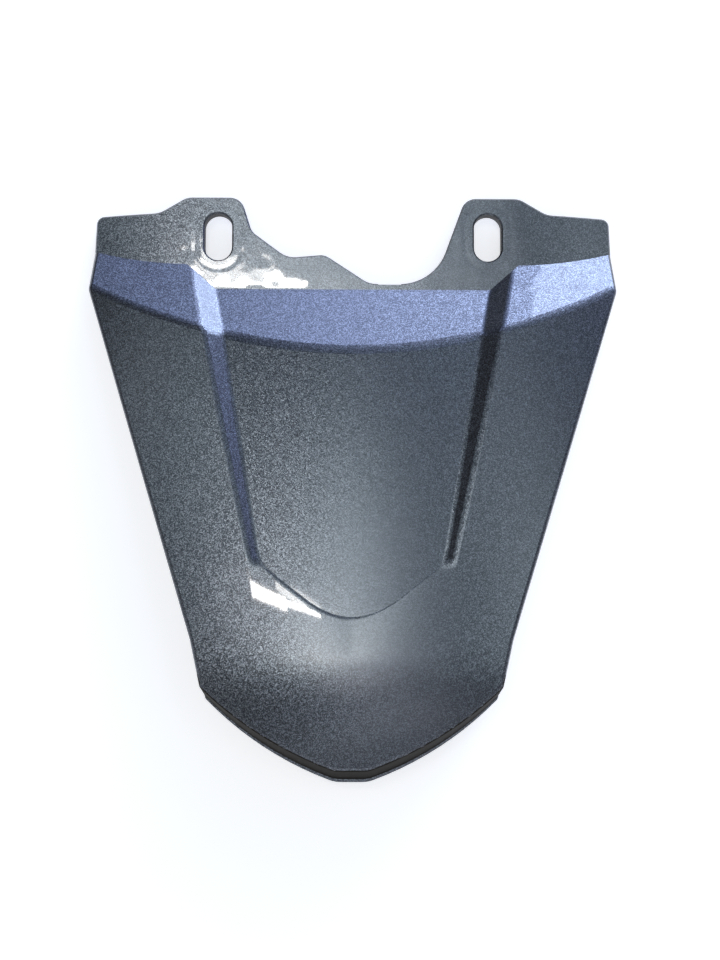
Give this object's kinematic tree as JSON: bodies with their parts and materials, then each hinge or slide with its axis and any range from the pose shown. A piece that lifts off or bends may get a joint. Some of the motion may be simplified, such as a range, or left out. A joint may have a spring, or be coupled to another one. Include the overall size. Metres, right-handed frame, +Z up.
{
  "type": "motorcycle tail cover",
  "caption": "Tapering moulded tail cover: sunken centre field, sloping front band, bolting flange with slotted ears and an uneven notch, hollow below.",
  "frame": {"origin": "centre of the bounding box at the level of the lower rim", "axes": "+X to the rider's right, +Y forward to the flange, +Z up, away from the rim"},
  "size_m": [0.1706, 0.1862, 0.0336],
  "materials": {
    "painted_shell": "metallic blue grey paint with clear coat"
  },
  "bodies": {
    "root": {"tail_cover": "painted_shell"}
  },
  "joints": []
}
